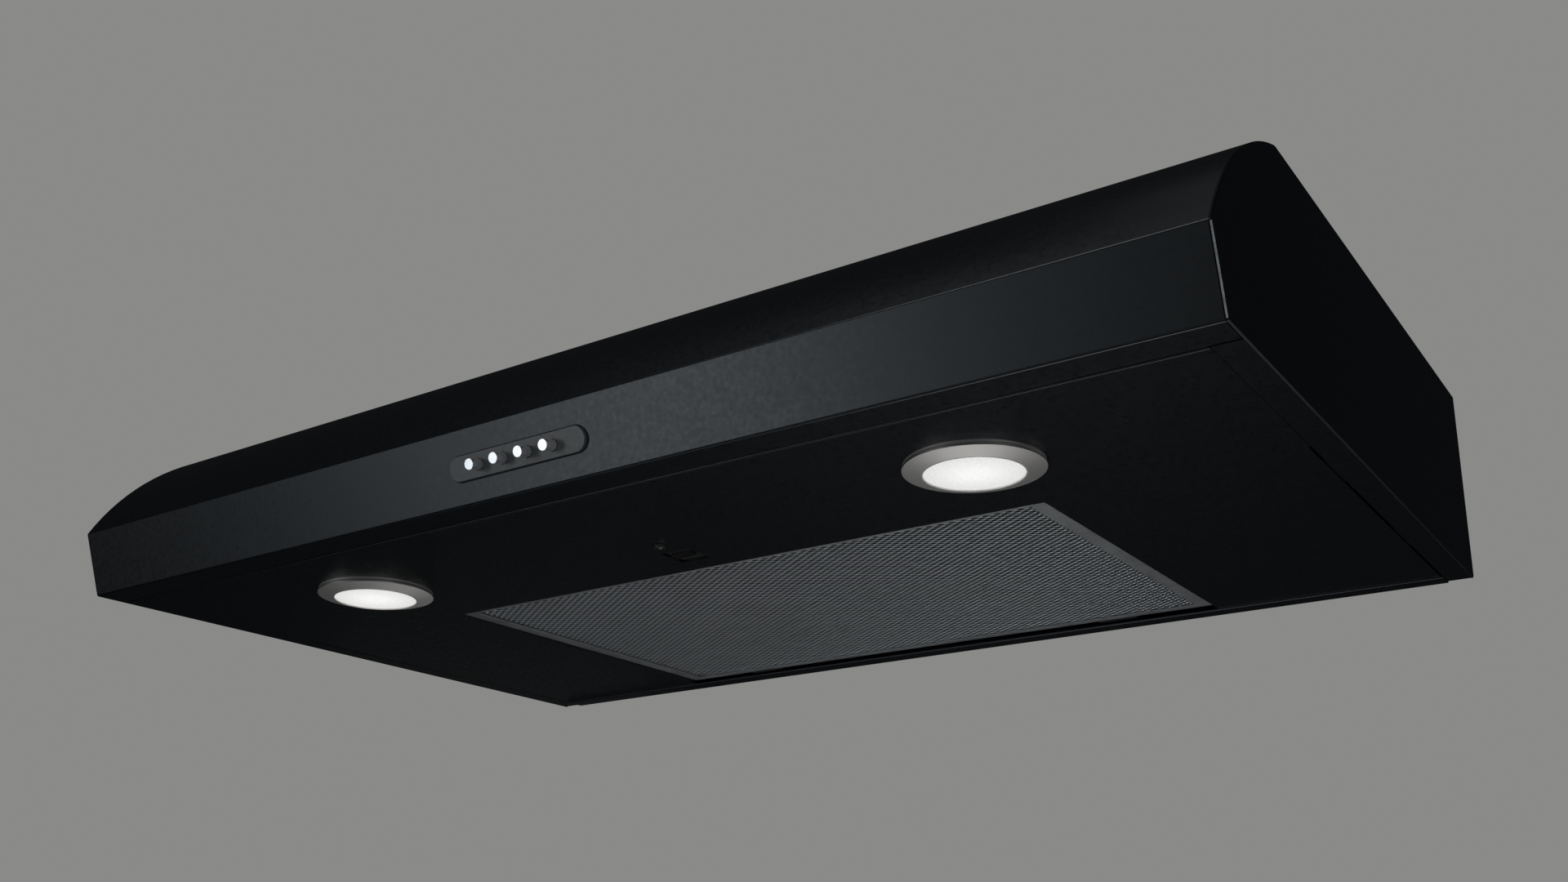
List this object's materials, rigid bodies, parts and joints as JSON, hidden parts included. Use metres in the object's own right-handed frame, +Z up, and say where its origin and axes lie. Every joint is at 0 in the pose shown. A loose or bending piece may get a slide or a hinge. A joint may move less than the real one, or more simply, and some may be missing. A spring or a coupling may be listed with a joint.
{
  "type": "under cabinet range hood",
  "caption": "Low under cabinet range hood with a curved front visor, leaning fascia with push buttons, round lamps, mesh grease filter, blower and rectangular duct collar with damper.",
  "frame": {"origin": "centre of the four cabinet screw holes, on the hood's top face", "axes": "+X to the right as seen from the front, +Y towards the wall, +Z up into the cabinet"},
  "size_m": [0.762, 0.4806, 0.1615],
  "materials": {
    "black_enamel": "smooth satin-gloss black enamel",
    "grey_enamel": "satin dark enamel plate",
    "galvanised_sheet": "bright zinc spangle",
    "brushed_nickel": "circular brushed nickel",
    "frosted_lens": "frosted white diffuser, lit",
    "cast_aluminium": "matt die cast",
    "white_board": "white solder mask",
    "spring_steel": "bright rolled strip",
    "filter_aluminium": "bright folded aluminium",
    "filter_mesh": "expanded aluminium mesh",
    "zinc_fasteners": "zinc plated",
    "black_oxide": "black oxide",
    "chrome_button": "polished chrome",
    "black_plastic": "moulded black",
    "grey_plastic": "moulded grey",
    "shaft_steel": "ground steel",
    "lamination_steel": "stacked laminations",
    "motor_paint": "dark grey paint",
    "grommet_rubber": "soft black rubber",
    "white_plastic": "moulded white",
    "cable_sheath": "smooth sheath"
  },
  "bodies": {
    "hood_body": {"canopy_shell": "black_enamel", "top_panel": "black_enamel", "side_panel_right": "black_enamel", "side_panel_left": "black_enamel", "rear_panel": "black_enamel", "bottom_pan": "black_enamel", "rear_port_cover": "galvanised_sheet", "lamp_bezel_left": "brushed_nickel", "lamp_bezel_right": "brushed_nickel", "lamp_lens_left": "frosted_lens", "lamp_lens_right": "frosted_lens", "lamp_housing_left": "cast_aluminium", "lamp_housing_right": "cast_aluminium", "led_board_left": "white_board", "led_board_right": "white_board", "lamp_clips": "spring_steel", "latch_nut": "zinc_fasteners", "latch_screw": "black_oxide", "control_plate": "grey_enamel", "switch_block": "black_plastic", "switch_bracket": "galvanised_sheet", "blower_scroll": "galvanised_sheet", "inlet_plate": "galvanised_sheet", "inlet_guard": "black_plastic", "motor_stator": "lamination_steel", "motor_can": "motor_paint", "motor_cap": "motor_paint", "motor_bearings": "shaft_steel", "motor_grommets": "grommet_rubber", "motor_screws": "zinc_fasteners", "duct_collar": "galvanised_sheet", "sheet_screws": "zinc_fasteners", "wiring_box": "galvanised_sheet", "wiring_cover": "galvanised_sheet", "terminal_block": "white_plastic", "cable_bushing": "black_plastic", "capacitor": "white_plastic", "capacitor_strap": "spring_steel", "led_driver": "white_plastic", "internal_wiring": "cable_sheath"},
    "blower_rotor": {"impeller": "grey_plastic", "impeller_nut": "zinc_fasteners", "motor_shaft": "shaft_steel", "motor_rotor": "lamination_steel"},
    "grease_filter": {"filter_frame": "filter_aluminium", "filter_face_mesh": "filter_mesh", "filter_back_mesh": "filter_mesh", "filter_mesh_layers": "filter_mesh", "filter_rear_tabs": "black_oxide"},
    "filter_latch": {"latch_slider": "black_oxide"},
    "damper": {"damper_flap": "galvanised_sheet", "damper_rod": "shaft_steel"},
    "button_1": {"button_cap_1": "chrome_button", "button_stem_1": "black_plastic"},
    "button_2": {"button_cap_2": "chrome_button", "button_stem_2": "black_plastic"},
    "button_3": {"button_cap_3": "chrome_button", "button_stem_3": "black_plastic"},
    "button_4": {"button_cap_4": "chrome_button", "button_stem_4": "black_plastic"}
  },
  "joints": [
    {"name": "impeller_spin", "type": "hinge", "parent": "hood_body", "child": "blower_rotor", "pos_m": [-0.047, -0.035, -0.0438], "axis": [0, 0, 1], "continuous": true},
    {"name": "filter_swing", "type": "hinge", "parent": "hood_body", "child": "grease_filter", "pos_m": [0, 0.1679, -0.1237], "axis": [1, 0, 0], "range_deg": [0, 60]},
    {"name": "latch_slide", "type": "slide", "parent": "hood_body", "child": "filter_latch", "axis": [0, -1, 0], "range_m": [0, 0.006], "stiffness_N_per_m": 150, "springref_m": -0.004},
    {"name": "damper_swing", "type": "hinge", "parent": "hood_body", "child": "damper", "pos_m": [0, 0.161, 0.008], "axis": [-1, 0, 0], "range_deg": [0, 70]},
    {"name": "button_1_press", "type": "slide", "parent": "hood_body", "child": "button_1", "axis": [0, 0.957, 0.29], "range_m": [0, 0.0035], "stiffness_N_per_m": 300, "springref_m": -0.004},
    {"name": "button_2_press", "type": "slide", "parent": "hood_body", "child": "button_2", "axis": [0, 0.957, 0.29], "range_m": [0, 0.0035], "stiffness_N_per_m": 300, "springref_m": -0.004},
    {"name": "button_3_press", "type": "slide", "parent": "hood_body", "child": "button_3", "axis": [0, 0.957, 0.29], "range_m": [0, 0.0035], "stiffness_N_per_m": 300, "springref_m": -0.004},
    {"name": "button_4_press", "type": "slide", "parent": "hood_body", "child": "button_4", "axis": [0, 0.957, 0.29], "range_m": [0, 0.0035], "stiffness_N_per_m": 300, "springref_m": -0.004}
  ]
}
